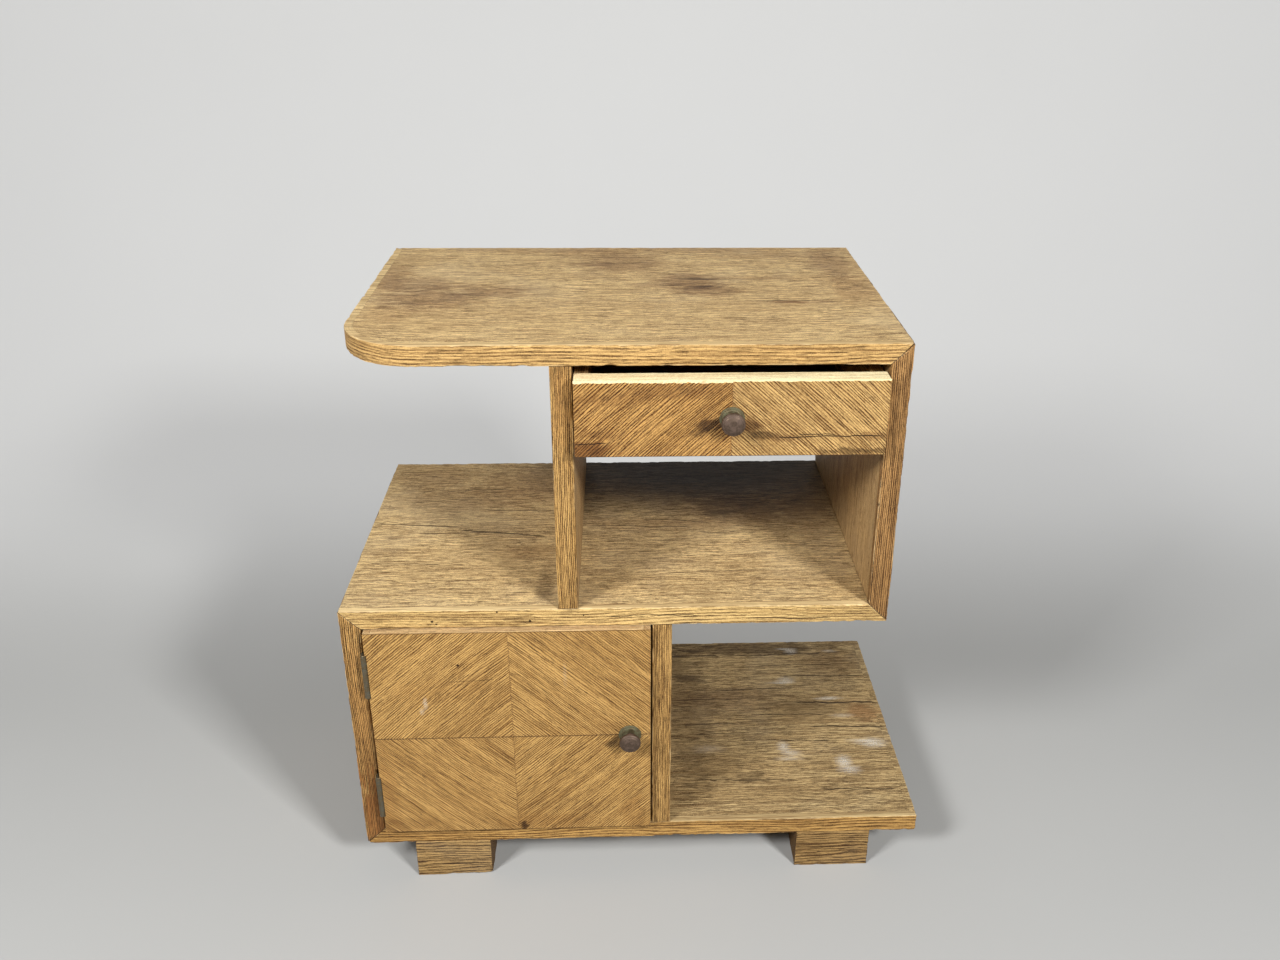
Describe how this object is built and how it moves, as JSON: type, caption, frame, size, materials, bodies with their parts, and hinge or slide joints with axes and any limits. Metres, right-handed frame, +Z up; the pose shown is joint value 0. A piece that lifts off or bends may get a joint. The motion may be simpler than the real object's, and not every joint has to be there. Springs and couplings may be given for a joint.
{
  "type": "bedside cabinet",
  "caption": "Stepped oak bedside cabinet with a hinged cupboard low on the left, a drawer over an open niche high on the right, and block feet.",
  "frame": {"origin": "on the floor, under the middle of the whole cabinet with its knobs", "axes": "+Z up, -Y to the front, +X to the right as seen from the front"},
  "size_m": [0.6, 0.379, 0.6135],
  "materials": {
    "oak_board": "dry worn oak veneer",
    "oak_lipping": "dry worn oak with an eased arris",
    "oak_face_veneer": "matched oak veneer, worn varnish",
    "door_core_wood": "raw softwood",
    "drawer_wood": "raw pale wood",
    "plywood": "raw plywood",
    "foot_wood": "worn oak",
    "hinge_brass": "aged grey-green brass",
    "knob_bronze": "dark brown patina",
    "rose_brass": "green-grey patina",
    "steel": "dull plain steel"
  },
  "bodies": {
    "cabinet": {"top_board": "oak_board", "middle_board": "oak_board", "bottom_board": "oak_board", "upper_right_side": "oak_board", "upper_divider": "oak_board", "lower_left_side": "oak_board", "lower_divider": "oak_board", "top_lipping": "oak_lipping", "middle_lipping": "oak_lipping", "bottom_lipping": "oak_lipping", "bottom_end_lipping": "oak_lipping", "right_side_lipping": "oak_lipping", "upper_divider_lipping": "oak_lipping", "left_side_lipping": "oak_lipping", "lower_divider_lipping": "oak_lipping", "mitre_splines": "door_core_wood", "cupboard_back_panel": "plywood", "drawer_bay_back": "plywood", "back_panel_pins": "steel", "foot_screws": "steel", "runner_screws": "steel", "foot_front_left": "foot_wood", "foot_front_right": "foot_wood", "foot_back_left": "foot_wood", "foot_back_right": "foot_wood", "drawer_runner_left": "drawer_wood", "drawer_runner_right": "drawer_wood", "door_stop": "drawer_wood", "upper_hinge_carcass_leaf": "hinge_brass", "lower_hinge_carcass_leaf": "hinge_brass", "upper_hinge_pin": "hinge_brass", "lower_hinge_pin": "hinge_brass", "hinge_carcass_screws": "hinge_brass"},
    "door": {"door_core": "door_core_wood", "door_lipping_top": "oak_lipping", "door_lipping_bottom": "oak_lipping", "door_lipping_hinge_side": "oak_lipping", "door_lipping_lock_side": "oak_lipping", "door_veneer_upper_left": "oak_face_veneer", "door_veneer_upper_right": "oak_face_veneer", "door_veneer_lower_left": "oak_face_veneer", "door_veneer_lower_right": "oak_face_veneer", "door_veneer_inside": "oak_face_veneer", "upper_hinge_door_leaf": "hinge_brass", "lower_hinge_door_leaf": "hinge_brass", "hinge_door_screws": "hinge_brass", "door_knob": "knob_bronze", "door_knob_rose": "rose_brass", "door_knob_bolt": "steel"},
    "drawer": {"drawer_front": "drawer_wood", "drawer_side_left": "drawer_wood", "drawer_side_right": "drawer_wood", "drawer_back": "drawer_wood", "drawer_bottom": "plywood", "drawer_veneer_left": "oak_face_veneer", "drawer_veneer_right": "oak_face_veneer", "drawer_knob": "knob_bronze", "drawer_knob_rose": "rose_brass", "drawer_knob_bolt": "steel"}
  },
  "joints": [
    {"name": "drawer_slide", "type": "slide", "parent": "cabinet", "child": "drawer", "axis": [0, -1, 0], "range_m": [0, 0.22]},
    {"name": "door_hinge", "type": "hinge", "parent": "cabinet", "child": "door", "pos_m": [-0.2785, -0.163, 0.194], "axis": [0, 0, -1], "range_deg": [0, 170]}
  ]
}
